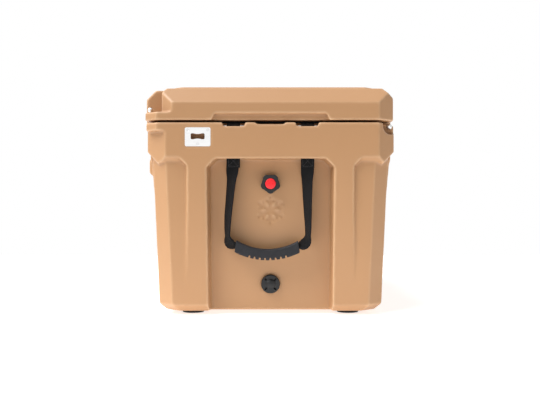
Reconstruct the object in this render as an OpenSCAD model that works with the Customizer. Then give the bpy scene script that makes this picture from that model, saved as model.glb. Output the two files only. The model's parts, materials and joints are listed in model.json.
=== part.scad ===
// Hard-sided cooler chest: a rotationally moulded tub with a hinged lid, two rubber latches,
// two webbing carry handles, a vent, a drain and a bottle opener.
// Millimetres, +Z up. X runs along the chest, -Y is the front with the latches and +Y is the
// back with the hinges. The right end, at +X, holds the vent, the drain and the opener.
// The origin is the middle of the footprint, on the floor.

/* [Overall size] */
// Length over the rim band and the lid
chest_length = 775; // [760:5:820]
// Width over the rim band
chest_width = 450; // [446:1:456]
// Height of the tub's rim above the floor
rim_height = 348; // [344:1:360]
// Height of the lid from its underside to its flat top
lid_height = 60; // [58:1:64]

/* [Tub] */
// Height of the rim band
band_height = 65; // [60:1:68]
// How far the band stands out from the body at the two long sides
side_step = 10; // [8:1:11]
// How far the band stands out from the body at the two ends
end_step = 8; // [6:1:10]
// How far each long side leans in from the band to the base
side_draft = 11.5; // [8:0.5:12]
// How far each end leans in from the band to the base
end_draft = 5; // [4:0.5:6]
// Size of the sloping cut along the band's lower long edges
band_chamfer = 13; // [10:1:14]
// Vertical chamfer on the front corners of the band
band_corner = 36; // [32:1:38]
// Vertical chamfer on the back corners of the band
band_back_corner = 30; // [26:1:31]
// How far the band dips at its corners
band_dip = 9; // [7:1:10]
// Vertical chamfer on the front corners of the lip above the band
lip_corner = 20; // [16:1:24]
// Height of the lip
lip_height = 15; // [12:1:16]
// Vertical chamfer on the corners of the body
body_corner = 26; // [22:1:28]
// Chamfer around the base
base_chamfer = 12; // [8:1:14]

/* [Insulation] */
// Thickness of each end wall at the rim
end_wall = 55.5; // [54:0.5:58]
// Thickness of each side wall at the rim
side_wall = 55; // [53:0.5:57]
// Thickness of the floor
floor_thickness = 37; // [36:0.5:40]
// Thickness of the moulded skin over the foam
skin = 5; // [4:0.5:6]

/* [End recess] */
// Half width of the recess that the handle hangs in
recess_half = 115; // [112:1:118]
// Depth of the recess below the band
recess_depth = 27; // [25:1:28]
// Half width over the two columns beside the recess
column_half = 151; // [148:1:153]
// Chamfer in the recess's upper corners
recess_corner = 15; // [12:1:18]

/* [Lid] */
// Gap between the rim and the lid, which the gasket fills
lid_gap = 4; // [3.5:0.5:5]
// How far the lid's front flange stands in front of the band
flange_proud = 2; // [1:0.5:3]
// Thickness of the front flange
flange_height = 15; // [13:1:17]
// Depth of the shelf over the front flange
flange_depth = 30; // [28:1:32]
// Height of the lid's end faces up to the bevel
lid_face = 32; // [30:1:34]
// Height of the raised panel on top
panel_height = 4.5; // [4:0.5:7]

/* [Latches and hinges] */
// Distance of each latch and each hinge from the middle of the chest
latch_x = 253; // [245:1:262]
// Outer width of the two cheeks that hold a latch
cheek_span = 88; // [86:1:92]
// Thickness of one cheek
cheek = 12; // [10:1:13]
// Radius of a hinge pin
hinge_pin_r = 4; // [3.5:0.25:4.5]
// Radius of a latch pin
latch_pin_r = 3.5; // [3:0.25:4]

/* [Handles] */
// Distance of each strap slot from the middle of the end
slot_y = 66; // [64:1:68]
// Width of a strap slot
slot_width = 40; // [36:1:42]
// Width of the webbing
webbing_width = 24; // [20:1:28]
// Inner radius of the curved grip
grip_inner_r = 108; // [104:1:112]
// Radial height of the grip
grip_height = 20; // [18:1:22]

/* [Vent and drain] */
// Height of the vent above the floor
vent_z = 238; // [232:1:244]
// Height of the drain above the floor
drain_z = 55; // [54:0.5:58]
// Outer radius of the vent's star knob
knob_r = 18; // [16:0.5:20]
// Outer radius of the drain's flange
drain_flange_r = 17; // [16:0.5:18]

/* [Feet] */
// Radius of a foot
foot_r = 20.5; // [18:0.5:23]
// How far a foot stands below the base
foot_gap = 7; // [5:0.5:8]

/* [Hidden] */
$fn = 64;

tan_colour = [0.76, 0.6, 0.44];
foam_colour = [0.93, 0.9, 0.78];
black_colour = [0.09, 0.09, 0.1];
grip_colour = [0.27, 0.27, 0.29];
red_colour = [0.95, 0.15, 0.18];
steel_colour = [0.8, 0.8, 0.79];

// Main levels and half sizes
half_length = chest_length / 2;
half_width = chest_width / 2;
base_z = foot_gap;
band_z = rim_height - band_height;
lid_z = rim_height + lid_gap;
lid_top = lid_z + lid_height;
body_height = band_z - base_z;
over = 1;
slab = 0.5;

// Body just under the band and at its base
upper_x = half_length - end_step;
upper_y = half_width - side_step;
lower_x = upper_x - end_draft;
lower_y = upper_y - side_draft;
column_lean = 15;
side_column_lean = 24;
gusset = 12;

// Room inside
room_top_x = half_length - end_wall;
room_top_y = half_width - side_wall;
room_lean_x = 14;
room_lean_y = 10;
room_floor = base_z + floor_thickness;

// End recess: the panel leans like the columns beside it
panel_top_x = half_length - recess_depth;
panel_low_x = panel_top_x - column_lean;
recess_flare = 5;
function panel_x(z) = panel_low_x + (panel_top_x - panel_low_x) * (z - base_z) / body_height;
function room_x(z) = room_top_x - room_lean_x * (rim_height - z) / (rim_height - room_floor);

// Hinge line and latch line
hinge_y = half_width - 8;
hinge_z = rim_height - 5;
knuckle_r = 11;
knuckle_half = 42;
knuckle_room = 1.5;
pin_inner_x = 196;
pin_outer_x = half_length - 36;
end_notch_r = 15;
latch_y = 3 - half_width - 6;
latch_z = lid_z + 27;
cheek_y = latch_y - 7;
bulb_r = 8;
bulb_y = latch_y + 14;
keeper_z = band_z - 29;
keeper_height = 36;
keeper_proud = 5;
bulb_z = keeper_z - bulb_r - 0.5;
channel_top_y = half_width - 10.5;
channel_low_y = half_width - 20.5;
stem_width = 34;

// Lid
lid_front = -half_width - flange_proud;
lid_back = half_width - 1.5;
lid_wall = lid_front + flange_depth;
lid_bevel = lid_height - lid_face;
plug_depth = 11;
plug_clearance = 7;

// Handle
bar_r = 4;
bar_x = half_length - 15.5;
bar_z = rim_height - 7.5;
bar_tab = 12;
bar_tab_height = 4;
bar_screw_offset = slot_width / 2 + 5;
swing_z = band_z - 3;
webbing_thick = 2.2;
grip_shift = -5;
grip_centre_z = 228;
grip_mid_r = grip_inner_r + grip_height / 2;
grip_angle = 34;
webbing_angle = 36;
slot_depth = 14.4;

// Drain and vent
drain_bore_r = 9.6;
vent_bore_r = 4;
vent_stem_r = 3.7;
button_stem_r = 2.2;
button_r = 9.6;
seat_x_drain = panel_x(drain_z) - 1.5;
seat_x_vent = panel_x(vent_z) - 2;
flange = 4;
drain_cap_x = seat_x_drain + flange + 0.3;
vent_stack_x = seat_x_vent + flange;
washer_thick = 1.6;
knob_x = vent_stack_x + washer_thick + 0.3;
knob_neck = 3;
knob_height = 14;
button_depth = 5.5;

// Opener
opener_y = -130.3;
opener_z = rim_height - 26.4;
opener_size = [46, 34];
opener_thick = 2.2;
opener_slot = [25, 10.7];
opener_screw_spots = [[-18, 12.5], [18, 12.5], [0, -12.5]];

// Feet
foot_x = 318;
foot_y = 144;
foot_socket = 4;

// A Y-Z outline extruded along X, centred on the origin
module along_x(length) {
    rotate([90, 0, 90])
        linear_extrude(length, center = true)
            children();
}

// An X-Z outline extruded along Y, centred on the origin
module along_y(length) {
    rotate([90, 0, 0])
        linear_extrude(length, center = true)
            children();
}

// The children and their mirror image at the other end
module both_ends() {
    children();
    mirror([1, 0, 0])
        children();
}

// Places children at height z on the right end, with their own +Z pointing out
module on_end(x, z) {
    translate([x, 0, z])
        rotate([0, 90, 0])
            children();
}

// A plan with chamfered corners, from y = front to y = back
function plan(half_x, front, back, front_corner, back_corner) = [
    [-half_x + front_corner, front],
    [half_x - front_corner, front],
    [half_x, front + front_corner],
    [half_x, back - back_corner],
    [half_x - back_corner, back],
    [-half_x + back_corner, back],
    [-half_x, back - back_corner],
    [-half_x, front + front_corner],
];

module plan_block(z, height, half_x, front, back, front_corner, back_corner) {
    translate([0, 0, z])
        linear_extrude(height)
            polygon(plan(half_x, front, back, front_corner, back_corner));
}

module rounded_plan(half_x, half_y, r) {
    square([2 * (half_x - r), 2 * half_y], center = true);
    square([2 * half_x, 2 * (half_y - r)], center = true);
    for (sx = [-1, 1], sy = [-1, 1])
        translate([sx * (half_x - r), sy * (half_y - r)])
            circle(r);
}

// ---------- Tub ----------

// The tapered body below the band
module body_taper() {
    foot_plan_x = lower_x - base_chamfer;
    foot_plan_y = lower_y - base_chamfer;
    chamfer_z = base_z + base_chamfer;
    hull() {
        plan_block(base_z, slab, foot_plan_x, -foot_plan_y, foot_plan_y, body_corner, body_corner);
        plan_block(chamfer_z, slab, lower_x, -lower_y, lower_y, body_corner, body_corner);
        plan_block(band_z + over, slab, upper_x, -upper_y, upper_y, body_corner, body_corner);
    }
}

// The band around the rim, with its lip
module rim_band() {
    top_edge = 5;
    end_bevel = 3;
    low = band_z - band_dip;
    dip_y = half_width - band_chamfer - band_dip;
    flat_y = dip_y - 11;
    flat_z = band_z - end_step + end_bevel;
    intersection() {
        union() {
            plan_block(low, band_height + band_dip, half_length, -half_width, half_width,
                       band_corner, band_back_corner);
            plan_block(rim_height - lip_height, lip_height, half_length, -half_width, half_width,
                       lip_corner, band_back_corner);
        }
        along_x(chest_length + 2 * over)
            polygon([
                [-dip_y, low],
                [-flat_y, flat_z],
                [flat_y, flat_z],
                [dip_y, low],
                [half_width, band_z + band_chamfer],
                [half_width, rim_height - top_edge],
                [half_width - top_edge, rim_height],
                [-half_width, rim_height],
                [-half_width, band_z + band_chamfer],
            ]);
        along_y(chest_width + 2 * over)
            polygon([
                [-half_length + band_dip + end_bevel, low],
                [half_length - band_dip - end_bevel, low],
                [half_length, band_z + end_bevel],
                [half_length, rim_height],
                [-half_length, rim_height],
                [-half_length, band_z + end_bevel],
            ]);
    }
}

// The columns at both ends, which run from the band into the body
module end_columns() {
    low = base_z + base_chamfer;
    low_x = half_length - column_lean * (band_z - low) / body_height;
    intersection() {
        along_x(chest_length + 2 * over)
            polygon([
                [-column_half, low],
                [column_half, low],
                [column_half, band_z - gusset],
                [column_half + gusset, band_z],
                [column_half + gusset, band_z + over],
                [-column_half - gusset, band_z + over],
                [-column_half - gusset, band_z],
                [-column_half, band_z - gusset],
            ]);
        along_y(chest_width)
            polygon([
                [-low_x, low],
                [low_x, low],
                [half_length, band_z],
                [half_length, band_z + over],
                [-half_length, band_z + over],
                [-half_length, band_z],
            ]);
    }
}

// The columns on the long sides, under each latch and each hinge
module side_columns() {
    low = base_z + base_chamfer;
    low_y = half_width - side_column_lean * (band_z - low) / body_height;
    half = cheek_span / 2 + 4;
    top = band_z + band_chamfer;
    intersection() {
        both_ends()
            translate([latch_x, 0])
                along_y(chest_width)
                    polygon([
                        [-half, low],
                        [half, low],
                        [half, band_z - gusset],
                        [half + gusset, band_z],
                        [half + gusset, top],
                        [-half - gusset, top],
                        [-half - gusset, band_z],
                        [-half, band_z - gusset],
                    ]);
        along_x(chest_length)
            polygon([
                [-low_y, low],
                [low_y, low],
                [half_width, band_z],
                [half_width, top],
                [-half_width, top],
                [-half_width, band_z],
            ]);
    }
}

// The blocks that a latch's bulb hooks under
module keepers() {
    top = keeper_z + keeper_height;
    edge = 6;
    front = -half_width - keeper_proud;
    both_ends()
        translate([latch_x, 0, 0])
            along_x(80)
                polygon([
                    [-upper_y + 20, keeper_z],
                    [front + edge, keeper_z],
                    [front, keeper_z + edge],
                    [front, top - edge],
                    [front + edge, top],
                    [-upper_y + 20, top],
                ]);
}

// Channel for a latch's stem, the pocket under the keepers for its bulb, and the
// notch above them that lets the bulb out
module latch_channel() {
    pocket_half = 40;
    pocket_low = keeper_z - 50;
    notch_y = half_width - 14.5;
    depth = 50;
    translate([latch_x, 0, 0]) {
        along_x(stem_width + 4)
            polygon([
                [-channel_low_y - depth, pocket_low],
                [-channel_low_y, pocket_low],
                [-channel_low_y, keeper_z],
                [-channel_top_y, rim_height + over],
                [-channel_low_y - depth, rim_height + over],
            ]);
        along_x(2 * pocket_half)
            polygon([
                [-channel_low_y - depth, pocket_low - depth],
                [-channel_low_y, pocket_low + 5],
                [-channel_low_y, keeper_z],
                [-channel_low_y - depth, keeper_z],
            ]);
        along_x(2 * pocket_half)
            polygon([
                [-notch_y - depth, keeper_z + keeper_height],
                [-notch_y, keeper_z + keeper_height],
                [-notch_y, rim_height + over],
                [-notch_y - depth, rim_height + over],
            ]);
    }
}

// The space for food and ice; grow adds the skin around it
module room(grow) {
    floor_r = 20;
    top_r = 26;
    rise = 9;
    low_x = room_top_x - room_lean_x;
    low_y = room_top_y - room_lean_y;
    hull()
        for (sx = [-1, 1], sy = [-1, 1]) {
            translate([sx * (low_x - floor_r - rise), sy * (low_y - floor_r - rise), room_floor - grow])
                cylinder(h = slab, r = floor_r + grow, $fn = 32);
            translate([sx * (low_x - floor_r), sy * (low_y - floor_r), room_floor - grow + rise])
                cylinder(h = slab, r = floor_r + grow, $fn = 32);
            translate([sx * (room_top_x - top_r), sy * (room_top_y - top_r), rim_height])
                cylinder(h = over, r = top_r + grow, $fn = 32);
        }
}

// The recess in the right end, flared outwards
module end_recess() {
    outer = half_length + 5;
    low = base_z - 10;
    module outline(half)
        polygon([
            [-half, low],
            [half, low],
            [half, band_z - recess_corner],
            [half - recess_corner, band_z],
            [-half + recess_corner, band_z],
            [-half, band_z - recess_corner],
        ]);
    intersection() {
        hull() {
            translate([outer, 0, 0])
                along_x(slab)
                    outline(recess_half);
            translate([panel_low_x - 5, 0, 0])
                along_x(slab)
                    outline(recess_half - recess_flare * 1.5);
        }
        along_y(chest_width)
            polygon([
                [panel_x(low), low],
                [outer, low],
                [outer, band_z + over],
                [panel_top_x, band_z + over],
                [panel_top_x, band_z],
            ]);
    }
}

// One strap slot through the band, its notch in the rim and the seats of its bar
module strap_slot() {
    notch = 7;
    seat = bar_tab + 0.6;
    translate([bar_x - slot_depth / 2, slot_y - slot_width / 2, band_z - over])
        cube([slot_depth, slot_width, band_height + 2 * over]);
    translate([bar_x, slot_y - slot_width / 2, rim_height - notch])
        cube([half_length, slot_width, notch + over]);
    for (side = [-1, 1]) {
        translate([bar_x - seat / 2 - 0.2, slot_y + side * (slot_width + seat) / 2 - seat / 2,
                   bar_z - bar_tab_height / 2 - 0.2])
            cube([seat + 0.4, seat, rim_height]);
        translate([bar_x, slot_y + side * bar_screw_offset, bar_z - 14])
            cylinder(h = 20, r = 1.62);
    }
}

// Shallow notch in the middle of each end's rim
module centre_notch() {
    depth = 3.6;
    translate([half_length - 10, 0, 0])
        along_x(30)
            polygon([
                [-24, rim_height - depth],
                [24, rim_height - depth],
                [28, rim_height + over],
                [-28, rim_height + over],
            ]);
}

// Clearance for a lid knuckle, the pin's bore and the access notch at the corner
module hinge_cuts() {
    half = knuckle_half + knuckle_room;
    room_y = hinge_y - knuckle_r - knuckle_room;
    room_z = hinge_z - knuckle_r - knuckle_room;
    translate([latch_x - half, room_y, room_z])
        cube([2 * half, 40, 40]);
    translate([pin_inner_x, hinge_y, hinge_z])
        rotate([0, 90, 0])
            cylinder(h = half_length, r = hinge_pin_r + 0.05);
    translate([pin_outer_x, hinge_y, hinge_z])
        rotate([0, 90, 0])
            cylinder(h = 60, r = end_notch_r);
}

module opener_cuts() {
    pocket_depth = 12;
    translate([half_length - opener_thick - 0.3, opener_y, opener_z])
        along_x_from_here(10)
            rounded_plan(opener_size[0] / 2 + 0.5, opener_size[1] / 2 + 0.5, 3.5);
    translate([half_length - opener_thick - pocket_depth, opener_y, opener_z + 1])
        along_x_from_here(20)
            rounded_plan(15, 8.5, 3);
    for (spot = opener_screw_spots)
        translate([half_length - 16, opener_y + spot[0], opener_z + spot[1]])
            rotate([0, 90, 0])
                cylinder(h = 20, r = 1.3);
}

// A Y-Z outline extruded towards +X from where it stands
module along_x_from_here(length) {
    rotate([90, 0, 90])
        linear_extrude(length)
            children();
}

// Six-armed frost motif cut lightly into the recess panel
module frost_motif() {
    arm = 27;
    arm_width = 7;
    tip = 11;
    tip_width = 6;
    depth = 2.2;
    motif_z = 190;
    lean = atan((panel_top_x - panel_low_x) / body_height);
    translate([panel_x(motif_z), 0, motif_z])
        rotate([0, lean, 0])
            translate([-depth, 0, 0])
                along_x_from_here(10)
                    for (turn = [0 : 60 : 300])
                        rotate(turn) {
                            translate([-arm_width / 2, 0])
                                square([arm_width, arm]);
                            for (side = [-1, 1])
                                translate([0, arm / 2])
                                    rotate(side * 55)
                                        translate([-tip_width / 2, 0])
                                            square([tip_width, tip]);
                        }
}

module fitting_cuts() {
    on_end(room_x(drain_z) - 20, drain_z)
        cylinder(h = 60, r = 13.05);
    on_end(seat_x_drain, drain_z)
        cylinder(h = 60, r = drain_flange_r + 0.6);
    on_end(room_x(drain_z) - 20, drain_z)
        cylinder(h = 21, r = 20);
    on_end(room_x(vent_z) - 20, vent_z)
        cylinder(h = 60, r = 10.05);
    on_end(seat_x_vent, vent_z)
        cylinder(h = 60, r = 14.6);
    on_end(room_x(vent_z) - 20, vent_z)
        cylinder(h = 21, r = 17);
}

module foot_cuts() {
    for (sx = [-1, 1], sy = [-1, 1])
        translate([sx * foot_x, sy * foot_y, 0]) {
            cylinder(h = base_z + foot_socket, r = foot_r + 0.4);
            cylinder(h = 30, r = 2.05);
        }
}

// The foam inside the tub, cut back around everything that is screwed or pushed into the skin
module foam_fill() {
    low = base_z + 7;
    top = rim_height - 23;
    low_x = panel_low_x - 8;
    top_x = panel_top_x - 8.5;
    low_y = lower_y - 17;
    mid_y = lower_y - 8;
    top_y = upper_y - 17;
    difference() {
        intersection() {
            along_y(chest_width)
                polygon([[-low_x, low], [low_x, low], [top_x, top], [-top_x, top]]);
            along_x(chest_length)
                polygon([[-low_y, low], [low_y, low], [mid_y, low + 16], [top_y, top],
                         [-top_y, top], [-mid_y, low + 16]]);
        }
        room(skin);
        on_end(room_x(drain_z) - 30, drain_z)
            cylinder(h = 90, r = 26);
        on_end(room_x(vent_z) - 30, vent_z)
            cylinder(h = 90, r = 22);
        for (sx = [-1, 1], sy = [-1, 1])
            translate([sx * foot_x, sy * foot_y, 0])
                cylinder(h = 35, r = 12);
    }
}

module tub_shell() {
    color(tan_colour)
        difference() {
            union() {
                body_taper();
                rim_band();
                end_columns();
                side_columns();
                keepers();
            }
            room(0);
            foam_fill();
            both_ends() {
                end_recess();
                strap_slot();
                mirror([0, 1, 0])
                    strap_slot();
                centre_notch();
                hinge_cuts();
                latch_channel();
            }
            opener_cuts();
            frost_motif();
            fitting_cuts();
            foot_cuts();
        }
}

module tub_core() {
    color(foam_colour)
        foam_fill();
}

// ---------- Pieces on the tub ----------

// Outline of the opening that grips a bottle cap: round ends, bowed-in long sides
module opener_mouth() {
    end_r = 2.4;
    bow_r = 24;
    bow = 1.2;
    difference() {
        rounded_plan(opener_slot[0] / 2, opener_slot[1] / 2, end_r);
        for (side = [-1, 1])
            translate([0, side * (opener_slot[1] / 2 + bow_r - bow)])
                circle(bow_r, $fn = 128);
    }
}

module opener_plate() {
    color(steel_colour)
        translate([half_length - opener_thick - 0.2, opener_y, opener_z])
            difference() {
                along_x_from_here(opener_thick)
                    difference() {
                        rounded_plan(opener_size[0] / 2, opener_size[1] / 2, 3);
                        translate([0, 1])
                            opener_mouth();
                    }
                for (spot = opener_screw_spots)
                    translate([0, spot[0], spot[1]])
                        rotate([0, 90, 0]) {
                            cylinder(h = 10, r = 1.7, center = true);
                            translate([0, 0, opener_thick - 1.4])
                                cylinder(h = 1.6, r1 = 1.7, r2 = 3.3);
                        }
            }
}

module opener_screws() {
    color(steel_colour)
        for (spot = opener_screw_spots)
            translate([half_length - 0.3, opener_y + spot[0], opener_z + spot[1]])
                rotate([0, -90, 0]) {
                    cylinder(h = 1.4, r1 = 3, r2 = 1.4);
                    cylinder(h = 14, r = 1.25);
                }
}

module handle_bars() {
    color(steel_colour)
        for (sx = [-1, 1], sy = [-1, 1])
            translate([sx * bar_x, sy * slot_y, bar_z]) {
                rotate([90, 0, 0])
                    cylinder(h = slot_width - 0.8, r = bar_r, center = true);
                for (side = [-1, 1])
                    translate([0, side * bar_screw_offset, 0])
                        difference() {
                            cube([bar_tab, bar_tab, bar_tab_height], center = true);
                            cylinder(h = 10, r = 1.7, center = true);
                        }
            }
}

module bar_screws() {
    color(steel_colour)
        for (sx = [-1, 1], sy = [-1, 1], side = [-1, 1])
            translate([sx * bar_x, sy * slot_y + side * bar_screw_offset,
                       bar_z + bar_tab_height / 2]) {
                cylinder(h = 1.8, r = 3.4);
                translate([0, 0, -14])
                    cylinder(h = 14.5, r = 1.58);
            }
}

// The webbing that wraps each bar and runs down its slot to where the handle swings
module strap_loops(sx) {
    wrap_r = bar_r + 0.2;
    color(black_colour)
        for (sy = [-1, 1])
            translate([sx * bar_x, sy * (slot_y + 1), 0]) {
                translate([0, 0, bar_z])
                    rotate([90, 0, 0])
                        difference() {
                            cylinder(h = webbing_width, r = wrap_r + webbing_thick, center = true);
                            cylinder(h = webbing_width + over, r = wrap_r, center = true);
                        }
                translate([-webbing_thick, -webbing_width / 2, swing_z + 1.6])
                    cube([2 * webbing_thick, webbing_width, bar_z - wrap_r - 0.7 - swing_z - 1.6]);
            }
}

module hinge_pin() {
    color(steel_colour)
        translate([pin_inner_x + 0.5, hinge_y, hinge_z])
            rotate([0, 90, 0])
                difference() {
                    cylinder(h = pin_outer_x - pin_inner_x - 1, r = hinge_pin_r);
                    translate([0, 0, pin_outer_x - pin_inner_x - 13])
                        cylinder(h = 20, r = 1.85);
                }
}

// A dome-head screw along +Z: the head stands above z = 0
module dome_screw(head_r, head_height, shank_r, shank) {
    ball_r = (head_r * head_r + head_height * head_height) / (2 * head_height);
    intersection() {
        translate([0, 0, head_height - ball_r])
            sphere(ball_r);
        cylinder(h = 20, r = head_r);
    }
    translate([0, 0, -shank])
        cylinder(h = shank + slab, r = shank_r);
}

module hinge_screws() {
    color(steel_colour)
        both_ends()
            translate([pin_outer_x, hinge_y, hinge_z])
                rotate([0, 90, 0])
                    dome_screw(5.5, 3.2, 1.8, 10);
}

module vent_body() {
    color(black_colour)
        on_end(room_x(vent_z) - 7, vent_z)
            difference() {
                union() {
                    cylinder(h = seat_x_vent + flange - room_x(vent_z) + 7, r = 10);
                    translate([0, 0, seat_x_vent - room_x(vent_z) + 7])
                        cylinder(h = flange, r = 14);
                }
                translate([0, 0, -over])
                    cylinder(h = 80, r = vent_bore_r);
            }
}

module hex_nut(across_r, height, bore_r) {
    difference() {
        cylinder(h = height, r = across_r, $fn = 6);
        translate([0, 0, -over])
            cylinder(h = height + 2 * over, r = bore_r);
    }
}

module vent_nut() {
    color(black_colour)
        on_end(room_x(vent_z) + 1 - 6, vent_z)
            hex_nut(15.5, 6, 10.04);
}

module drain_body() {
    color(black_colour)
        on_end(room_x(drain_z) - 6, drain_z)
            difference() {
                union() {
                    cylinder(h = seat_x_drain + flange - room_x(drain_z) + 6, r = 13);
                    translate([0, 0, seat_x_drain - room_x(drain_z) + 6])
                        cylinder(h = flange, r = drain_flange_r);
                }
                translate([0, 0, -over])
                    cylinder(h = 80, r = drain_bore_r);
            }
}

module drain_washer() {
    color(black_colour)
        on_end(room_x(drain_z) + 1 - 2, drain_z)
            difference() {
                cylinder(h = 2, r = 18.5);
                translate([0, 0, -over])
                    cylinder(h = 4, r = 13.04);
            }
}

module drain_nut() {
    color(black_colour)
        on_end(room_x(drain_z) - 1 - 5, drain_z)
            hex_nut(19, 5, 13.04);
}

module foot(sx, sy) {
    color(black_colour)
        translate([sx * foot_x, sy * foot_y, 0])
            difference() {
                union() {
                    cylinder(h = 1.5, r1 = foot_r - 1.5, r2 = foot_r);
                    translate([0, 0, 1.5])
                        cylinder(h = base_z + foot_socket - 1.5, r = foot_r);
                }
                translate([0, 0, -over])
                    cylinder(h = 4, r = 5);
                cylinder(h = 30, r = 2.3);
            }
}

module foot_screws() {
    color(steel_colour)
        for (sx = [-1, 1], sy = [-1, 1])
            translate([sx * foot_x, sy * foot_y, 3])
                mirror([0, 0, 1])
                    dome_screw(4.2, 2.2, 2, 22);
}

// ---------- Lid ----------

module lid_block() {
    bevel_y = 20;
    bevel_z = 18;
    front_bevel = 8;
    front_corner = 20;
    flange_corner = 22;
    back_corner = 28;
    intersection() {
        union() {
            plan_block(lid_z, flange_height, half_length, lid_front, lid_back,
                       flange_corner, back_corner);
            plan_block(lid_z, lid_height, half_length, lid_wall, lid_back,
                       front_corner, back_corner);
        }
        along_x(chest_length + 2 * over)
            polygon([
                [lid_front, lid_z],
                [lid_back, lid_z],
                [lid_back, lid_top - bevel_z],
                [lid_back - bevel_y, lid_top],
                [lid_wall + front_bevel, lid_top],
                [lid_wall, lid_top - front_bevel],
                [lid_front, lid_top - front_bevel],
            ]);
        along_y(chest_width + 20)
            polygon([
                [-half_length, lid_z],
                [half_length, lid_z],
                [half_length, lid_z + lid_face],
                [half_length - lid_bevel, lid_top],
                [-half_length + lid_bevel, lid_top],
                [-half_length, lid_z + lid_face],
            ]);
    }
}

// The raised panel on top, with a shallow tray in it
module lid_panel() {
    low = lid_top - over;
    high = lid_top + panel_height;
    slope = panel_height + over;
    half_x = half_length - 45;
    front = lid_wall + 18;
    back = lid_back - 34;
    intersection() {
        plan_block(low, slope, half_x + slope, front - slope, back + slope, 24, 24);
        along_x(chest_length)
            polygon([[front - slope, low], [back + slope, low], [back, high], [front, high]]);
        along_y(chest_width)
            polygon([[-half_x - slope, low], [half_x + slope, low], [half_x, high],
                     [-half_x, high]]);
    }
}

// The two cheeks that hold each latch's pin
module latch_cheeks() {
    top_cut = 17.5;
    cheek_top = lid_top + 4;
    both_ends()
        for (side = [-1, 1])
            translate([latch_x + side * (cheek_span - cheek) / 2, 0, 0])
                along_x(cheek)
                    polygon([
                        [lid_wall + 10, lid_z],
                        [cheek_y, lid_z],
                        [cheek_y, cheek_top - top_cut],
                        [cheek_y + top_cut, cheek_top],
                        [lid_wall + 6, cheek_top],
                        [lid_wall + 10, lid_top],
                    ]);
}

// The knuckles that reach down around the hinge pins
module lid_knuckles() {
    both_ends()
        translate([latch_x, 0, 0]) {
            translate([0, hinge_y, hinge_z])
                rotate([0, 90, 0])
                    cylinder(h = 2 * knuckle_half, r = knuckle_r, center = true);
            translate([-knuckle_half, hinge_y - knuckle_r, hinge_z])
                cube([2 * knuckle_half, 2 * knuckle_r, lid_z - hinge_z + 12]);
        }
}

// The block under the lid that drops into the tub's mouth
module lid_plug() {
    translate([0, 0, lid_z - plug_depth])
        linear_extrude(plug_depth + over)
            rounded_plan(room_top_x - plug_clearance, room_top_y - plug_clearance, 22);
}

module gasket_ring(inner, outer) {
    difference() {
        rounded_plan(room_top_x + outer, room_top_y + outer, 26 + outer);
        rounded_plan(room_top_x + inner, room_top_y + inner, 26 + inner);
    }
}

// Finger recess under the lid's end face
module lid_finger_recess() {
    low_half = 106;
    top_half = 100.5;
    height = 11.5;
    depth = 7;
    translate([half_length - depth, 0, 0])
        along_x_from_here(20)
            polygon([
                [-low_half, lid_z - over],
                [low_half, lid_z - over],
                [top_half, lid_z + height],
                [-top_half, lid_z + height],
            ]);
}

module lid_foam_fill() {
    inset = 14;
    low = lid_z + 8;
    high = lid_top - 6;
    plug_inset = plug_clearance + skin;
    translate([0, 0, lid_z - plug_depth + skin])
        linear_extrude(low - lid_z + plug_depth - skin + over)
            rounded_plan(room_top_x - plug_inset, room_top_y - plug_inset, 18);
    intersection() {
        plan_block(low, high - low, half_length - inset, lid_wall + inset, lid_back - inset - 2, 20, 24);
        along_y(chest_width)
            polygon([
                [-half_length + inset, low],
                [half_length - inset, low],
                [half_length - inset, low + 12],
                [half_length - inset - 28, high],
                [-half_length + inset + 28, high],
                [-half_length + inset, low + 12],
            ]);
        along_x(chest_length)
            polygon([
                [lid_wall + inset, low],
                [lid_back - inset - 2, low],
                [lid_back - inset - 2, high - 14],
                [lid_back - inset - 18, high],
                [lid_wall + inset, high],
            ]);
    }
}

module lid_shell() {
    tray_depth = 2.5;
    color(tan_colour)
        difference() {
            union() {
                lid_block();
                lid_panel();
                latch_cheeks();
                lid_knuckles();
                lid_plug();
            }
            lid_foam_fill();
            translate([0, 0, lid_z - 0.01])
                linear_extrude(5)
                    gasket_ring(10, 19);
            translate([0, (lid_wall + lid_back) / 2 - 8, lid_top + panel_height - tray_depth])
                linear_extrude(10)
                    rounded_plan(290, 138, 24);
            both_ends() {
                lid_finger_recess();
                translate([latch_x - cheek_span / 2 + cheek, lid_front - 20, lid_z - over])
                    cube([cheek_span - 2 * cheek, flange_depth + 20, lid_height + 2 * over]);
                translate([latch_x, latch_y, latch_z])
                    rotate([0, 90, 0])
                        cylinder(h = cheek_span + 2, r = latch_pin_r + 0.03, center = true);
                translate([latch_x, hinge_y, hinge_z])
                    rotate([0, 90, 0])
                        cylinder(h = 2 * knuckle_half + 2, r = hinge_pin_r + 0.06, center = true);
            }
        }
}

module lid_core() {
    color(foam_colour)
        lid_foam_fill();
}

module lid_gasket() {
    color(black_colour)
        translate([0, 0, rim_height + 0.2])
            linear_extrude(lid_gap + 4.5)
                gasket_ring(10.5, 18.5);
}

// ---------- Latches ----------

module latch_pin(sx) {
    reach = cheek_span / 2;
    color(steel_colour)
        translate([sx * latch_x, latch_y, latch_z])
            rotate([0, sx * 90, 0])
                difference() {
                    union() {
                        translate([0, 0, -reach + 0.5])
                            cylinder(h = 2 * reach - 0.5, r = latch_pin_r);
                        translate([0, 0, reach])
                            dome_screw(4.8, 2.8, latch_pin_r, over);
                    }
                    translate([0, 0, -reach - over])
                        cylinder(h = 16, r = 1.85);
                }
}

module latch_screws() {
    reach = cheek_span / 2;
    color(steel_colour)
        both_ends()
            translate([latch_x - reach, latch_y, latch_z])
                rotate([0, -90, 0])
                    dome_screw(4.8, 2.8, 1.8, 12);
}

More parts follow.
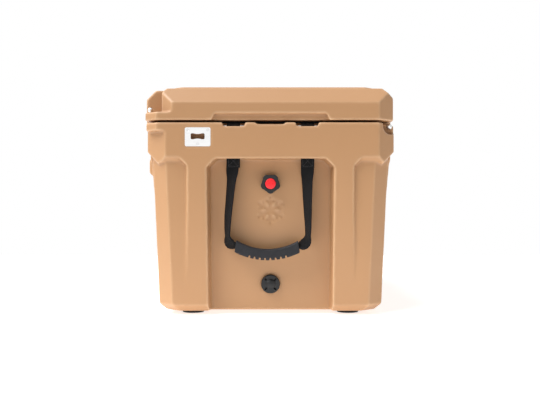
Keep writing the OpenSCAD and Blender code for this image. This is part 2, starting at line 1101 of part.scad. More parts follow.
// A rubber latch: a head on the pin, a stem, a bulb that hooks under the keepers and a finger tab
module latch(sx) {
    head_half = cheek_span / 2 - cheek - 1;
    head_r = 7.5;
    bulb_half = 36;
    stem_half = 5.5;
    tab_z = bulb_z - 28;
    color(black_colour)
        translate([sx * latch_x, 0, 0])
            difference() {
                union() {
                    translate([0, latch_y, latch_z])
                        rotate([0, 90, 0])
                            cylinder(h = 2 * head_half, r = head_r, center = true);
                    translate([0, bulb_y, bulb_z])
                        rotate([0, 90, 0])
                            cylinder(h = 2 * bulb_half, r = bulb_r, center = true);
                    intersection() {
                        along_x(2 * bulb_half)
                            polygon([
                                [latch_y + stem_half, latch_z],
                                [latch_y - stem_half, latch_z],
                                [bulb_y - stem_half, bulb_z],
                                [bulb_y - stem_half - 1, tab_z],
                                [bulb_y - stem_half + 3, tab_z],
                                [bulb_y + stem_half, bulb_z],
                            ]);
                        translate([0, latch_y, 0])
                            along_y(40)
                                polygon([
                                    [-head_half, latch_z],
                                    [-head_half, latch_z - 10],
                                    [-stem_width / 2, latch_z - 26],
                                    [-stem_width / 2, bulb_z + 5],
                                    [-stem_width / 2, bulb_z],
                                    [-24, bulb_z - 6],
                                    [-20, tab_z],
                                    [20, tab_z],
                                    [24, bulb_z - 6],
                                    [stem_width / 2, bulb_z],
                                    [stem_width / 2, bulb_z + 5],
                                    [stem_width / 2, latch_z - 26],
                                    [head_half, latch_z - 10],
                                    [head_half, latch_z],
                                ]);
                    }
                }
                translate([0, latch_y, latch_z])
                    rotate([0, 90, 0])
                        cylinder(h = cheek_span, r = latch_pin_r + 0.06, center = true);
            }
}

// ---------- Handles ----------

// Sweeps a section, drawn as radius and X, along the grip's arc
module grip_arc(half_angle) {
    translate([bar_x - 1, grip_shift, grip_centre_z])
        rotate([0, 90, 0])
            rotate([0, 0, -half_angle])
                rotate_extrude(angle = 2 * half_angle, $fn = 96)
                    children();
}

module webbing(sx) {
    end_angle = webbing_angle;
    fold_half = 6;
    end_y = grip_mid_r * sin(end_angle);
    end_z = grip_centre_z - grip_mid_r * cos(end_angle);
    color(black_colour)
        scale([sx, 1, 1]) {
            grip_arc(end_angle)
                translate([grip_mid_r - webbing_thick, -fold_half])
                    square([2 * webbing_thick, 2 * fold_half]);
            for (sy = [-1, 1])
                hull() {
                    translate([bar_x - webbing_thick, sy * (slot_y + 1) - webbing_width / 2,
                               swing_z - 4])
                        cube([2 * webbing_thick, webbing_width, over]);
                    translate([bar_x - 1 - fold_half, grip_shift + sy * (end_y + 2) - 2.5, end_z - 4])
                        cube([2 * fold_half, 5, 10]);
                }
        }
}

module grip_section() {
    intersection() {
        translate([grip_mid_r, 0])
            circle(13);
        translate([grip_inner_r, -10.5])
            square([grip_height, 21]);
    }
}

// Bounds the grip: its end faces stand nearly upright
module grip_ends() {
    top_half = 54;
    low_half = 62;
    translate([bar_x, grip_shift - 1, 0])
        along_x(60)
            polygon([
                [-low_half, 92],
                [low_half, 92],
                [top_half, 148],
                [-top_half, 148],
            ]);
}

module grip(sx) {
    teeth_gap = 3;
    teeth_pitch = 4.35;
    teeth_depth = 4.5;
    color(grip_colour)
        scale([sx, 1, 1])
            difference() {
                intersection() {
                    grip_arc(grip_angle)
                        difference() {
                            grip_section();
                            translate([grip_mid_r - webbing_thick - 0.4, -6.5])
                                square([2 * webbing_thick + 0.8, 13]);
                        }
                    grip_ends();
                }
                translate([bar_x - 1, grip_shift, grip_centre_z])
                    for (step = [-3.5 : 3.5])
                        rotate([step * teeth_pitch, 0, 0])
                            translate([-20, -teeth_gap / 2, -grip_inner_r - grip_height - 5])
                                cube([40, teeth_gap, teeth_depth + 5]);
            }
}

// ---------- Vent ----------

module vent_washer() {
    color(black_colour)
        on_end(vent_stack_x + 0.15, vent_z)
            difference() {
                cylinder(h = washer_thick, r = 12);
                translate([0, 0, -over])
                    cylinder(h = 4, r = vent_bore_r);
            }
}

module vent_knob() {
    lobe_r = 7.5;
    core_r = knob_r - 2.3;
    lobes = 5;
    stem = 14;
    color(black_colour)
        on_end(knob_x, vent_z)
            difference() {
                union() {
                    translate([0, 0, -stem])
                        cylinder(h = stem + over, r = vent_stem_r);
                    cylinder(h = knob_neck + over, r = 12);
                    translate([0, 0, knob_neck])
                        linear_extrude(knob_height - knob_neck) {
                            circle(core_r);
                            for (lobe = [0 : lobes - 1])
                                rotate(lobe * 360 / lobes)
                                    translate([knob_r - lobe_r, 0])
                                        circle(lobe_r);
                        }
                }
                translate([0, 0, knob_height - button_depth])
                    cylinder(h = 20, r = button_r + 0.4);
                translate([0, 0, -stem - over])
                    cylinder(h = 60, r = button_stem_r + 0.3);
            }
}

// The button's plunger runs back through the knob to the seal
module vent_button() {
    cap_height = 2.2;
    dome = 1.6;
    travel = 3;
    stem = 17;
    steps = 8;
    ball_r = (button_r * button_r + dome * dome) / (2 * dome);
    dome_angle = asin(button_r / ball_r);
    cap_base = knob_height - button_depth + travel + 0.2;
    ball_z = cap_base + cap_height + dome - ball_r;
    color(red_colour)
        on_end(knob_x, vent_z)
            rotate_extrude()
                polygon(concat(
                    [[0, -stem], [button_stem_r, -stem], [button_stem_r, cap_base],
                     [button_r, cap_base]],
                    [for (step = [steps : -1 : 0])
                        let (angle = dome_angle * step / steps)
                        [ball_r * sin(angle), ball_z + ball_r * cos(angle)]]
                ));
}

module vent_seal() {
    color(black_colour)
        on_end(knob_x - 17, vent_z)
            difference() {
                cylinder(h = 2.4, r = vent_stem_r - 0.3);
                translate([0, 0, -over])
                    cylinder(h = 5, r = button_stem_r + 0.03);
            }
}

// ---------- Drain ----------

module drain_oring() {
    color(black_colour)
        on_end(drain_cap_x + 1.2, drain_z)
            rotate_extrude()
                translate([11.3, 0])
                    circle(1.2, $fn = 24);
}

module drain_plug() {
    cap_height = 5;
    dome_r = 9.6;
    dome = 4.5;
    notch = [5.5, 2.6];
    notch_r = 9.2;
    ball_r = (dome_r * dome_r + dome * dome) / (2 * dome);
    color(black_colour)
        on_end(drain_cap_x, drain_z) {
            difference() {
                union() {
                    cylinder(h = cap_height - 1.2, r = drain_flange_r + 0.2);
                    translate([0, 0, cap_height - 1.2])
                        cylinder(h = 1.2, r1 = drain_flange_r + 0.2, r2 = drain_flange_r - 1);
                    translate([0, 0, -20])
                        cylinder(h = 21, r = 9.1);
                }
                translate([0, 0, -over])
                    difference() {
                        cylinder(h = 3.7, r = 13);
                        cylinder(h = 3.7, r = 9.1);
                    }
                for (turn = [45 : 90 : 315])
                    rotate(turn)
                        translate([notch_r, -notch[1] / 2, cap_height - 2.4])
                            cube([notch[0], notch[1], 5]);
                translate([0, 0, -21])
                    cylinder(h = 18, r = 6.5);
            }
            intersection() {
                translate([0, 0, cap_height + dome - ball_r])
                    sphere(ball_r);
                translate([0, 0, cap_height - 0.5])
                    cylinder(h = 20, r = dome_r);
            }
        }
}

tub_shell();
tub_core();
opener_plate();
opener_screws();
handle_bars();
bar_screws();
strap_loops(-1);  // strap_loops_left
strap_loops(1);  // strap_loops_right
mirror([1, 0, 0]) hinge_pin();  // hinge_pin_left
hinge_pin();  // hinge_pin_right
hinge_screws();
vent_body();
vent_nut();
drain_body();
drain_washer();
drain_nut();
foot(-1, -1);  // foot_front_left
foot(1, -1);  // foot_front_right
foot(-1, 1);  // foot_back_left
foot(1, 1);  // foot_back_right
foot_screws();
lid_shell();
lid_core();
lid_gasket();
latch_pin(-1);  // latch_pin_left
latch_pin(1);  // latch_pin_right
latch_screws();
latch(-1);  // latch_left
latch(1);  // latch_right
webbing(-1);  // webbing_left
webbing(1);  // webbing_right
grip(-1);  // grip_left
grip(1);  // grip_right
vent_washer();
vent_knob();
vent_button();
vent_seal();
drain_oring();
drain_plug();
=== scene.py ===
import json
import math

import bmesh
import bpy
import numpy as np
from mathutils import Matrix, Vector

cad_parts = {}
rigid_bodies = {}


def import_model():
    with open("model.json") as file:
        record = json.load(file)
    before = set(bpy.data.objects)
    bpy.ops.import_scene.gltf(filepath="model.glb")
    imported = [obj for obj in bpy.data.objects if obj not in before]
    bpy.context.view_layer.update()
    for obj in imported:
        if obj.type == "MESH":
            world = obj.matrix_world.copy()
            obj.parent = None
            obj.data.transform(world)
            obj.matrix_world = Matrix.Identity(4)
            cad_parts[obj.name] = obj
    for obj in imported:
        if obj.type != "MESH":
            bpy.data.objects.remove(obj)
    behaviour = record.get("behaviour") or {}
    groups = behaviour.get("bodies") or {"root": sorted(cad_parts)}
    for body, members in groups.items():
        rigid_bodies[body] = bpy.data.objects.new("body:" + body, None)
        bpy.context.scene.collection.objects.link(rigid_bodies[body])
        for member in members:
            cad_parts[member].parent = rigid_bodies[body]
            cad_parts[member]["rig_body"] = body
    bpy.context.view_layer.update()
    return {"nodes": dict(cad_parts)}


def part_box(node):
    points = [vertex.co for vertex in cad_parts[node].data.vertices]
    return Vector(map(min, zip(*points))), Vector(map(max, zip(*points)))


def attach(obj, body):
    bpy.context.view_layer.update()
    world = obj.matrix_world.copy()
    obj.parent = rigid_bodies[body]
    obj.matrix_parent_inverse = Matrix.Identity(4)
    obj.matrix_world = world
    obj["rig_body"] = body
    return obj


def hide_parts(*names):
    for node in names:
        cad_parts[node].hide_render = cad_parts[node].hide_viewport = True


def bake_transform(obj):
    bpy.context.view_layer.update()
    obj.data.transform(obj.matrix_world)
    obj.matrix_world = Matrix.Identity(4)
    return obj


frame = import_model()
NODES = frame["nodes"]
SCENE = bpy.context.scene


# ---------------------------------------------------------------- camera

CAMERA_DISTANCE = 1.5
CAMERA_HEIGHT = 0.2086
SENSOR_MM = 36
LENS_MM = 55.93
FRAME_SHIFT = (-0.0009, -0.0046)


def make_camera():
    """Level, square on to the right end."""
    data = bpy.data.cameras.new("camera")
    data.sensor_width = SENSOR_MM
    data.lens = LENS_MM
    data.shift_x, data.shift_y = FRAME_SHIFT
    camera = bpy.data.objects.new("camera", data)
    SCENE.collection.objects.link(camera)
    camera.location = (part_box("tub_shell")[1].x + CAMERA_DISTANCE, 0, CAMERA_HEIGHT)
    camera.rotation_euler = (math.radians(90), 0, math.radians(90))
    SCENE.camera = camera


make_camera()


# ---------------------------------------------------------------- materials

class Shader:
    """A node material with short ways to add and join nodes."""

    def __init__(self, name):
        self.material = bpy.data.materials.new(name)
        self.material.use_nodes = True
        self.tree = self.material.node_tree
        self.surface = self.tree.nodes["Principled BSDF"]

    def add(self, kind, **values):
        made = self.tree.nodes.new("ShaderNode" + kind)
        for key, value in values.items():
            setattr(made, key, value)
        return made

    def join(self, out, into):
        self.tree.links.new(out, into)

    def place(self, uv=False):
        return self.add("TexCoord").outputs["UV" if uv else "Object"]

    def noise(self, scale, detail=4.0, roughness=0.55, where=None):
        made = self.add("TexNoise")
        made.inputs["Scale"].default_value = scale
        made.inputs["Detail"].default_value = detail
        made.inputs["Roughness"].default_value = roughness
        self.join(where or self.place(), made.inputs["Vector"])
        return made.outputs["Fac"]

    def spread(self, value, low, high, from_low=0.3, from_high=0.7):
        made = self.add("MapRange")
        for key, number in zip(("From Min", "From Max", "To Min", "To Max"),
                               (from_low, from_high, low, high)):
            made.inputs[key].default_value = number
        self.join(value, made.inputs["Value"])
        return made.outputs["Result"]

    def math(self, operation, first, second=None):
        made = self.add("Math", operation=operation)
        for socket, value in zip(made.inputs, (first, second)):
            if value is None:
                continue
            if isinstance(value, (int, float)):
                socket.default_value = value
            else:
                self.join(value, socket)
        return made.outputs["Value"]

    def mix(self, factor, first, second, blend="MIX"):
        made = self.add("Mix", data_type="RGBA", blend_type=blend)
        for socket, value in zip((made.inputs[0], made.inputs[6], made.inputs[7]),
                                 (factor, first, second)):
            if isinstance(value, (int, float)):
                socket.default_value = value
            elif isinstance(value, tuple):
                socket.default_value = (*value, 1)
            else:
                self.join(value, socket)
        return made.outputs[2]

    def bump(self, height, distance, strength=1.0, under=None):
        made = self.add("Bump")
        made.inputs["Strength"].default_value = strength
        made.inputs["Distance"].default_value = distance
        self.join(height, made.inputs["Height"])
        if under:
            self.join(under, made.inputs["Normal"])
        return made.outputs["Normal"]

    def edges(self, low, high):
        """0 on flat places and 1 on convex edges, or with high under low, 1 in creases."""
        return self.spread(self.add("NewGeometry").outputs["Pointiness"], 0, 1, low, high)

    def finish(self, colour, roughness, normal, **constants):
        self.join(colour, self.surface.inputs["Base Color"])
        self.join(roughness, self.surface.inputs["Roughness"])
        self.join(normal, self.surface.inputs["Normal"])
        for key, value in constants.items():
            self.surface.inputs[key.replace("_", " ")].default_value = value
        return self.material


def moulded_material():
    """Rotomoulded polyethylene: orange peel, faint mottling, convex edges paler with rubbed wear and
    a painted highlight, creases darkened with painted shade.
    """
    s = Shader("moulded_tan")
    mottle = s.spread(s.noise(5, 4), 0, 1)
    speckle = s.spread(s.noise(1500, 2), 0, 1)
    colour = s.mix(mottle, (0.462, 0.249, 0.117), (0.476, 0.259, 0.124))
    colour = s.mix(s.math("MULTIPLY", speckle, 0.07), colour, (0.57, 0.35, 0.20))
    # Convex edges turn paler: the scuff part is rubbed wear, the steady part is a painted highlight
    # along the edges.
    scuff = s.spread(s.noise(70, 8, 0.7), 0, 1, 0.55, 0.75)
    edge = s.edges(0.505, 0.56)
    wear_and_highlight = s.math("MULTIPLY", edge, s.math("ADD", s.math("MULTIPLY", scuff, 0.25), 0.45))
    colour = s.mix(wear_and_highlight, colour, (0.86, 0.60, 0.38))
    # Painted shade: concave creases are darkened towards dark brown.
    colour = s.mix(s.math("MULTIPLY", s.edges(0.495, 0.43), 0.55), colour, (0.22, 0.10, 0.045))
    rough = s.math("ADD", s.spread(s.noise(45, 6), 0.38, 0.50), s.math("MULTIPLY", wear_and_highlight, 0.15))
    waves = s.bump(s.noise(30, 2), 0.0006, 0.25)
    peel = s.bump(s.noise(620, 3), 0.00018, 0.45, waves)
    return s.finish(colour, rough, peel, Specular_IOR_Level=0.40)


def rubber_material(name, colour, grain, rough):
    """Moulded rubber: matt grain, a little dust in patches, duller on its edges."""
    s = Shader(name)
    dust = s.spread(s.noise(55, 7, 0.65), 0, 1, 0.45, 0.8)
    pale = tuple(c * 1.6 + 0.012 for c in colour)
    shade = s.mix(s.math("MULTIPLY", dust, 0.35), colour, pale)
    shade = s.mix(s.math("MULTIPLY", s.edges(0.52, 0.6), 0.45), shade, pale)
    roughness = s.spread(s.noise(120, 5), rough - 0.07, rough + 0.07)
    normal = s.bump(s.noise(grain, 3), 0.00018, 0.7, s.bump(s.noise(90, 2), 0.0003, 0.3))
    return s.finish(shade, roughness, normal, Specular_IOR_Level=0.20)


def plastic_material(name, colour, rough):
    """Injection-moulded plastic: fine spark-eroded grain and faint scratches."""
    s = Shader(name)
    pale = tuple(min(1, c * 1.35 + 0.01) for c in colour)
    shade = s.mix(s.spread(s.noise(30, 6), 0, 0.5), colour, pale)
    shade = s.mix(s.math("MULTIPLY", s.edges(0.53, 0.62), 0.5), shade, pale)
    stretch = s.add("Mapping")
    stretch.inputs["Scale"].default_value = (1, 9, 1)
    stretch.inputs["Rotation"].default_value = (0.4, 0.2, 0.7)
    s.join(s.place(), stretch.inputs["Vector"])
    scratch = s.spread(s.noise(160, 8, 0.75, stretch.outputs["Vector"]), 0, 1, 0.6, 0.8)
    roughness = s.math("ADD", s.spread(s.noise(200, 4), rough - 0.05, rough + 0.05),
                       s.math("MULTIPLY", scratch, 0.12))
    normal = s.bump(s.noise(1900, 2), 0.0001, 0.5, s.bump(scratch, 0.00004, 0.3))
    return s.finish(shade, roughness, normal, Specular_IOR_Level=0.35)


def steel_material(name, along, dark, light):
    """Stainless steel with a brushed grain along one axis."""
    s = Shader(name)
    stretch = s.add("Mapping")
    stretch.inputs["Scale"].default_value = along
    s.join(s.place(), stretch.inputs["Vector"])
    where = stretch.outputs["Vector"]
    lines = s.noise(900, 3, 0.6, where)
    colour = s.mix(s.spread(lines, 0, 1), (dark,) * 3, (light,) * 3)
    colour = s.mix(s.math("MULTIPLY", s.edges(0.53, 0.62), 0.6), colour, (0.92, 0.92, 0.91))
    roughness = s.spread(s.noise(260, 5, 0.6, where), 0.24, 0.40)
    normal = s.bump(lines, 0.00004, 0.6, s.bump(s.noise(60, 3), 0.0002, 0.15))
    return s.finish(colour, roughness, normal, Metallic=1.0)


RIB_PITCH = 0.0016
PICK_PITCH = 0.0022


def webbing_material():
    """Black nylon webbing: a herringbone of narrow ribs over cross picks, and a few frayed fibres."""
    s = Shader("webbing_black")
    split = s.add("SeparateXYZ")
    s.join(s.place(uv=True), split.inputs["Vector"])
    along, across = split.outputs["X"], split.outputs["Y"]
    ribs = s.math("SINE", s.math("MULTIPLY", across, 2 * math.pi / RIB_PITCH))
    side = s.math("SIGN", ribs)
    picks = s.math("SINE", s.math("ADD", s.math("MULTIPLY", along, 2 * math.pi / PICK_PITCH),
                                  s.math("MULTIPLY", side, 1.6)))
    weave = s.math("ADD", s.math("MULTIPLY", s.math("ABSOLUTE", ribs), 0.7),
                   s.math("MULTIPLY", picks, 0.5))
    fuzz = s.noise(2600, 4, 0.7)
    height = s.math("ADD", weave, s.math("MULTIPLY", fuzz, 0.35))
    colour = s.mix(s.spread(weave, 0, 1, -0.4, 1.2), (0.0035, 0.0035, 0.004), (0.011, 0.011, 0.012))
    colour = s.mix(s.math("MULTIPLY", s.spread(s.noise(40, 6), 0, 1, 0.5, 0.8), 0.3), colour,
                   (0.016, 0.016, 0.016))
    roughness = s.spread(fuzz, 0.62, 0.82)
    return s.finish(colour, roughness, s.bump(height, 0.00035, 0.8), Sheen_Weight=0.02,
                    Sheen_Roughness=0.5, Specular_IOR_Level=0.14)


def thread_material():
    """Black sewing thread with a fine twist."""
    s = Shader("thread_black")
    twist = s.noise(2400, 3, 0.7)
    colour = s.mix(s.spread(twist, 0, 1), (0.010, 0.010, 0.011), (0.034, 0.034, 0.036))
    return s.finish(colour, s.spread(twist, 0.5, 0.7), s.bump(twist, 0.0002, 0.6),
                    Sheen_Weight=0.15)


def foam_material():
    """Cream rigid foam with small closed cells."""
    s = Shader("foam_cream")
    cells = s.add("TexVoronoi")
    cells.inputs["Scale"].default_value = 700
    s.join(s.place(), cells.inputs["Vector"])
    colour = s.mix(s.spread(s.noise(20, 5), 0, 1), (0.74, 0.66, 0.44), (0.82, 0.76, 0.56))
    return s.finish(colour, s.spread(s.noise(300, 3), 0.8, 0.95),
                    s.bump(cells.outputs["Distance"], 0.0006, 0.7))


TAN = moulded_material()
BLACK_RUBBER = rubber_material("rubber_black", (0.0085, 0.0085, 0.009), 1300, 0.60)
GRIP_RUBBER = rubber_material("rubber_grip", (0.019, 0.0195, 0.0225), 1600, 0.48)
BLACK_PLASTIC = plastic_material("plastic_black", (0.0075, 0.0075, 0.008), 0.40)
RED_PLASTIC = plastic_material("plastic_red", (0.86, 0.016, 0.022), 0.30)
PLATE_STEEL = steel_material("steel_plate", (1, 0.06, 1), 0.80, 0.90)
STEEL = steel_material("steel_fixings", (1, 1, 0.2), 0.62, 0.76)
WEBBING = webbing_material()
THREAD = thread_material()
FOAM = foam_material()


# ---------------------------------------------------------------- mesh helpers

# Vertices closer than this are one vertex of the CAD mesh
MERGE_DISTANCE = 2e-6
# Edges sharper than this get a bevel
SHARP_ANGLE = math.radians(35)


def paint(piece, material):
    """Gives the whole piece one material."""
    piece.data.materials.clear()
    piece.data.materials.append(material)
    for face in piece.data.polygons:
        face.material_index = 0
    return piece


def new_piece(name, bm, material):
    """Makes a smooth-shaded object from the mesh, with one material."""
    data = bpy.data.meshes.new(name)
    bm.to_mesh(data)
    bm.free()
    piece = bpy.data.objects.new(name, data)
    SCENE.collection.objects.link(piece)
    paint(piece, material)
    data.shade_smooth()
    return piece


def bake_modifiers(piece):
    """Turns the piece's modifiers into plain mesh."""
    graph = bpy.context.evaluated_depsgraph_get()
    made = bpy.data.meshes.new_from_object(piece.evaluated_get(graph), depsgraph=graph)
    piece.modifiers.clear()
    old = piece.data
    piece.data = made
    bpy.data.meshes.remove(old)


def islands(bm):
    """The mesh's separate closed surfaces, each as a list of faces."""
    seen = set()
    found = []
    for start in bm.faces:
        if start.index in seen:
            continue
        seen.add(start.index)
        stack, part = [start], []
        while stack:
            face = stack.pop()
            part.append(face)
            for edge in face.edges:
                for other in edge.link_faces:
                    if other.index not in seen:
                        seen.add(other.index)
                        stack.append(other)
        found.append(part)
    return found


def moulded_copy(name, node, material, voxel, passes, share, outer_only=False):
    """A copy of a CAD node with every edge rounded as a mould leaves it.

    share is the part of the faces that is kept; outer_only leaves inner cavities out.
    """
    bm = bmesh.new()
    bm.from_mesh(NODES[node].data)
    bmesh.ops.remove_doubles(bm, verts=bm.verts, dist=MERGE_DISTANCE)
    if outer_only:
        bm.faces.index_update()
        parts = islands(bm)
        outer = max(parts, key=lambda faces: max(v.co.x for f in faces for v in f.verts))
        bmesh.ops.delete(bm, geom=[f for p in parts if p is not outer for f in p], context="FACES")
    piece = new_piece(name, bm, material)
    remesh = piece.modifiers.new("remesh", "REMESH")
    remesh.mode = "VOXEL"
    remesh.voxel_size = voxel
    soften = piece.modifiers.new("soften", "SMOOTH")
    soften.factor = 0.5
    soften.iterations = passes
    thin = piece.modifiers.new("thin", "DECIMATE")
    thin.ratio = share
    bake_modifiers(piece)
    paint(piece, material)
    piece.data.shade_smooth()
    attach(piece, NODES[node]["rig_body"])
    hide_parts(node)
    return piece


def loft(name, rings, lengths, material):
    """A closed skin through rings of points, with UVs in metres along and around."""
    bm = bmesh.new()
    uv = bm.loops.layers.uv.new("UVMap")
    made = [[bm.verts.new(p) for p in ring] for ring in rings]
    count = len(rings[0])
    around = [0.0]
    for i in range(count):
        around.append(around[-1] + (Vector(rings[0][(i + 1) % count]) - Vector(rings[0][i])).length)
    for r in range(len(rings) - 1):
        for i in range(count):
            j = (i + 1) % count
            face = bm.faces.new((made[r][i], made[r][j], made[r + 1][j], made[r + 1][i]))
            corners = ((lengths[r], around[i]), (lengths[r], around[i + 1]),
                       (lengths[r + 1], around[i + 1]), (lengths[r + 1], around[i]))
            for loop, corner in zip(face.loops, corners):
                loop[uv].uv = corner
    bm.faces.new(list(reversed(made[0])))
    bm.faces.new(made[-1])
    bmesh.ops.recalc_face_normals(bm, faces=bm.faces)
    return new_piece(name, bm, material)


def round_edges(node, material, width, segments):
    """Keeps a CAD node as it is, with a small bevel on its sharp edges and a new material."""
    piece = NODES[node]
    paint(piece, material)
    bevel = piece.modifiers.new("edges", "BEVEL")
    bevel.width = width
    bevel.segments = segments
    bevel.limit_method = "ANGLE"
    bevel.angle_limit = SHARP_ANGLE
    bevel.harden_normals = True
    return piece


# ---------------------------------------------------------------- shells

SHELL_VOXEL = 0.0021
SHELL_PASSES = 5
SHELL_SHARE = 0.3
for part in ("tub", "lid"):
    moulded_copy(part + "_moulding", part + "_shell", TAN, SHELL_VOXEL, SHELL_PASSES,
                 SHELL_SHARE, True)


# ---------------------------------------------------------------- plain fittings

# CAD nodes that keep their shape: material, bevel width, bevel segments, nodes
BEVELLED = (
    (FOAM, 0.001, 1, ("tub_core", "lid_core")),
    (BLACK_RUBBER, 0.0006, 3, (
        "foot_front_left", "foot_front_right", "foot_back_left", "foot_back_right",
        "drain_washer", "vent_seal", "lid_gasket", "drain_oring")),
    (BLACK_PLASTIC, 0.0005, 3, (
        "vent_body", "vent_nut", "drain_body", "drain_nut", "vent_washer")),
    (STEEL, 0.0003, 3, (
        "handle_bars", "bar_screws", "hinge_pin_left", "hinge_pin_right", "hinge_screws",
        "foot_screws", "latch_pin_left", "latch_pin_right", "latch_screws")),
    (PLATE_STEEL, 0.0004, 3, ("opener_plate",)),
    (STEEL, 0.0002, 3, ("opener_screws",)),
)
# Pieces remade from a CAD node: name, node, material, voxel, passes, share of faces kept
MOULDED = (
    ("star_knob", "vent_knob", BLACK_PLASTIC, 0.0006, 5, 0.4),
    ("red_button", "vent_button", RED_PLASTIC, 0.0005, 4, 0.4),
    ("drain_cap", "drain_plug", BLACK_PLASTIC, 0.0006, 4, 0.4),
    ("latch_arm_left", "latch_left", BLACK_RUBBER, 0.0012, 5, 0.6),
    ("handle_grip_left", "grip_left", GRIP_RUBBER, 0.0009, 4, 0.6),
    ("latch_arm_right", "latch_right", BLACK_RUBBER, 0.0012, 5, 0.6),
    ("handle_grip_right", "grip_right", GRIP_RUBBER, 0.0009, 4, 0.6),
)

for material, width, segments, nodes in BEVELLED:
    for node in nodes:
        round_edges(node, material, width, segments)
for row in MOULDED:
    moulded_copy(*row)


# ---------------------------------------------------------------- webbing

STRAP_WIDTH = 0.024
STRAP_THICK = 0.0022
# The strap's arc inside the grip: centre as (Y, Z), radius, half its angle and its X
GRIP_CENTRE = (-0.005, 0.228)
GRIP_RADIUS = 0.118
GRIP_END = math.radians(26)
GRIP_X = 0.371
# The steel bar, and the middle of the strap's path around it
BAR_X = 0.372
BAR_Z = 0.3405
WRAP_RADIUS = 0.0054
# How far each layer of the doubled end lies from the bar's plane
LAYER_OFFSET = 0.00125
# The height of the slot's foot, where each strap's table starts
SLOT_FOOT = 0.292
# The sewn box on the doubled end, and one stitch
SEAM_HALF = 0.0088
SEAM_LOW = 0.2695
SEAM_HIGH = 0.2885
STITCH_PITCH = 0.0026
STITCH_RADIUS = 0.00034
STITCH_HALF = 0.0011
# Down each strap from its slot to the grip: height, Y, X, half turn in degrees, width and
# thickness as shares of the flat strap's
FRONT_STRAP = (
    (SLOT_FOOT, -0.0670, 0.37085, 0, 1, 1), (0.262, -0.0690, 0.3708, 22, 1, 1),
    (0.245, -0.0705, 0.3706, 45, 1, 1), (0.209, -0.0740, 0.3702, 54, 1, 1),
    (0.182, -0.0766, 0.3702, 57, 1, 1), (0.155, -0.0778, 0.3705, 64, 1, 1.1),
    (0.143, -0.0775, 0.3708, 68, 1, 1.3), (0.135, -0.0760, 0.3710, 50, 1, 1.8),
    (0.1285, -0.0718, 0.3712, 34, 0.98, 2.4), (0.1260, -0.0655, 0.3710, 34, 0.92, 2.6),
)
BACK_STRAP = (
    (SLOT_FOOT, 0.0670, 0.37085, 0, 1, 1), (0.262, 0.0668, 0.3708, 15, 1, 1),
    (0.245, 0.0665, 0.3706, 38, 1, 1), (0.209, 0.0670, 0.3702, 52, 1, 1),
    (0.182, 0.0676, 0.3702, 60, 1, 1), (0.155, 0.0682, 0.3705, 68, 1, 1.1),
    (0.143, 0.0675, 0.3708, 70, 1, 1.3), (0.135, 0.0655, 0.3710, 50, 1, 1.8),
    (0.1285, 0.0608, 0.3712, 34, 0.98, 2.4), (0.1260, 0.0545, 0.3710, 34, 0.92, 2.6),
)


def smooth_line(points, step):
    """Even samples on a Catmull-Rom curve through points of any dimension."""
    p = np.array(points, float)
    p = np.vstack([2 * p[0] - p[1], p, 2 * p[-1] - p[-2]])
    out = []
    for a, b, c, d in zip(p[:-3], p[1:-2], p[2:-1], p[3:]):
        count = max(2, int(np.linalg.norm((c - b)[:3]) / step))
        for t in np.arange(count) / count:
            out.append(0.5 * (2 * b + (c - a) * t + (2 * a - 5 * b + 4 * c - d) * t * t
                              + (3 * b - a - 3 * c + d) * t ** 3))
    out.append(p[-2])
    return np.array(out)


def bar_wrap(y):
    """From the sewn end up the outer layer, over the bar and down to the slot's foot."""
    outer = BAR_X + LAYER_OFFSET
    near = BAR_Z - 0.004
    places = [(outer, 0.267), (outer, SLOT_FOOT), (BAR_X + 0.0014, 0.318),
              (BAR_X + WRAP_RADIUS * 0.92, near)]
    for angle in (10, 50, 90, 130, 170):
        turn = math.radians(angle)
        places.append((BAR_X + WRAP_RADIUS * math.cos(turn), BAR_Z + WRAP_RADIUS * math.sin(turn)))
    places += [(BAR_X - WRAP_RADIUS * 0.92, near), (BAR_X - 0.0014, 0.318)]
    return [(x, y, z, 0, 1, 1) for x, z in places]


def webbing_path():
    """X, Y, Z, half turn, width and thickness along the whole strap."""
    path = bar_wrap(FRONT_STRAP[0][1])
    path += [(x, y, z, math.radians(turn), wide, thick)
             for z, y, x, turn, wide, thick in FRONT_STRAP]
    for angle in np.linspace(-GRIP_END, GRIP_END, 11):
        path.append((GRIP_X, GRIP_CENTRE[0] + GRIP_RADIUS * math.sin(angle),
                     GRIP_CENTRE[1] - GRIP_RADIUS * math.cos(angle), math.radians(90), 0.5, 1))
    path += [(x, y, z, math.radians(turn), wide, thick)
             for z, y, x, turn, wide, thick in reversed(BACK_STRAP)]
    path += reversed(bar_wrap(BACK_STRAP[0][1]))
    return smooth_line(path, 0.003)


def section(half_width, half_thick, corner=0.0008, steps=3):
    """A flat strip's outline, with round edges, as (across, through) pairs."""
    points = []
    for sx, sy, start in ((1, 1, 0), (-1, 1, 90), (-1, -1, 180), (1, -1, 270)):
        for i in range(steps + 1):
            a = math.radians(start + 90 * i / steps)
            points.append((sx * (half_width - corner) + corner * math.cos(a),
                           sy * (half_thick - corner) + corner * math.sin(a)))
    middle = [(half_width * t, half_thick) for t in (0.5, 0, -0.5)]
    cut = steps + 1
    return (points[:cut] + middle + points[cut:3 * cut]
            + [(-a, -b) for a, b in middle] + points[3 * cut:])


def stitch_line(start, end):
    """The middles and the direction of a row of stitches."""
    start, end = Vector(start), Vector(end)
    count = max(2, round((end - start).length / STITCH_PITCH))
    step = (end - start) / count
    return [(start + step * (i + 0.5), step.normalized()) for i in range(count)]


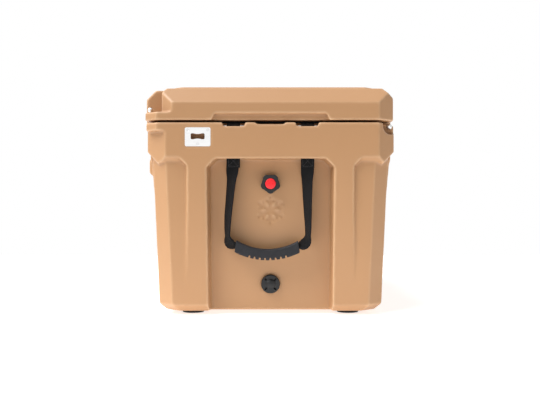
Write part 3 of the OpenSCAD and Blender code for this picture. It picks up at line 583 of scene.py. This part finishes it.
def make_stitches(side, name):
    """A sewn box with a cross in it, on the doubled end of both straps."""
    face_x = BAR_X + LAYER_OFFSET + STRAP_THICK / 2
    bm = bmesh.new()
    for y in (FRONT_STRAP[0][1], BACK_STRAP[0][1]):
        corners = [(y - SEAM_HALF, SEAM_LOW), (y + SEAM_HALF, SEAM_LOW),
                   (y + SEAM_HALF, SEAM_HIGH), (y - SEAM_HALF, SEAM_HIGH)]
        rows = list(zip(corners, corners[1:] + corners[:1]))
        rows += [(corners[0], corners[2]), (corners[1], corners[3])]
        for (y0, z0), (y1, z1) in rows:
            for middle, along in stitch_line((side * face_x, y0, z0), (side * face_x, y1, z1)):
                made = bmesh.ops.create_uvsphere(bm, u_segments=8, v_segments=6, radius=1)
                turn = along.to_track_quat("Z", "X").to_matrix().to_4x4()
                for v in made["verts"]:
                    v.co = turn @ Vector((v.co.x * STITCH_RADIUS, v.co.y * STITCH_RADIUS,
                                          v.co.z * STITCH_HALF))
                    v.co += middle
    return new_piece(name, bm, THREAD)


def make_webbing(side):
    """One handle's strap and its stitches; side is 1 for the right end and -1 for the left."""
    path = webbing_path()
    centres = path[:, :3]
    tangents = np.gradient(centres, axis=0)
    tangents /= np.linalg.norm(tangents, axis=1)[:, None]
    lengths = np.concatenate([[0], np.cumsum(np.linalg.norm(np.diff(centres, axis=0), axis=1))])
    outline = section(STRAP_WIDTH / 2, STRAP_THICK / 2)
    rings = []
    for (*centre, turn, wide, thick), tangent in zip(path, tangents):
        across = np.array([math.sin(turn), math.cos(turn), 0])
        across -= tangent * across.dot(tangent)
        across /= np.linalg.norm(across)
        through = np.cross(tangent, across)
        rings.append([centre + across * a * wide + through * b * thick for a, b in outline])
    rings = [[Vector((side * x, y, z)) for x, y, z in ring] for ring in rings]
    name = "right" if side > 0 else "left"
    strip = loft("webbing_strip_" + name, rings, lengths, WEBBING)
    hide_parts("webbing_" + name, "strap_loops_" + name)
    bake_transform(strip)
    stitches = make_stitches(side, "strap_stitches_" + name)
    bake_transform(stitches)


make_webbing(1)
make_webbing(-1)


# ---------------------------------------------------------------- stage and light

AMBIENT = 0.30
KEY = 4.5
KEY_TOWARDS = (-0.20, 0.66, -1.0)
KEY_SOFTNESS = 50
FLOOR_GLOW = 0.68
FLOOR_HALF = 1.25


def make_stage():
    """A pale floor that glows a little, as a lit white table does."""
    bm = bmesh.new()
    bmesh.ops.create_grid(bm, x_segments=2, y_segments=2, size=FLOOR_HALF)
    s = Shader("floor_pale")
    colour = s.mix(s.spread(s.noise(3, 4), 0, 1), (0.86, 0.86, 0.86), (0.88, 0.88, 0.88))
    material = s.finish(colour, s.spread(s.noise(8, 3), 0.75, 0.85),
                        s.bump(s.noise(300, 2), 0.0001, 0.1), Emission_Color=(1, 1, 1, 1),
                        Emission_Strength=FLOOR_GLOW)
    data = bpy.data.meshes.new("floor")
    bm.to_mesh(data)
    bm.free()
    floor = bpy.data.objects.new("floor", data)
    floor.data.materials.append(material)
    SCENE.collection.objects.link(floor)


def sun_light(name, towards, strength, softness):
    """Parallel light that travels along towards; softness is its width in degrees."""
    data = bpy.data.lights.new(name, "SUN")
    data.energy = strength
    data.angle = math.radians(softness)
    light = bpy.data.objects.new(name, data)
    light.rotation_euler = Vector(towards).to_track_quat("-Z", "Y").to_euler()
    SCENE.collection.objects.link(light)


def make_light():
    """A white room, dimmer as a light than as a reflection, with a wide soft lamp."""
    world = bpy.data.worlds.new("studio")
    world.use_nodes = True
    tree = world.node_tree
    background = tree.nodes["Background"]
    background.inputs["Color"].default_value = (1, 1, 1, 1)
    path = tree.nodes.new("ShaderNodeLightPath")
    level = tree.nodes.new("ShaderNodeMapRange")
    level.inputs["From Min"].default_value = 1.0
    level.inputs["From Max"].default_value = 0.0
    level.inputs["To Min"].default_value = AMBIENT
    level.inputs["To Max"].default_value = 1.0
    tree.links.new(path.outputs["Is Diffuse Ray"], level.inputs["Value"])
    tree.links.new(level.outputs["Result"], background.inputs["Strength"])
    SCENE.world = world
    sun_light("key", KEY_TOWARDS, KEY, KEY_SOFTNESS)
    SCENE.view_settings.view_transform = "Standard"


make_stage()
make_light()
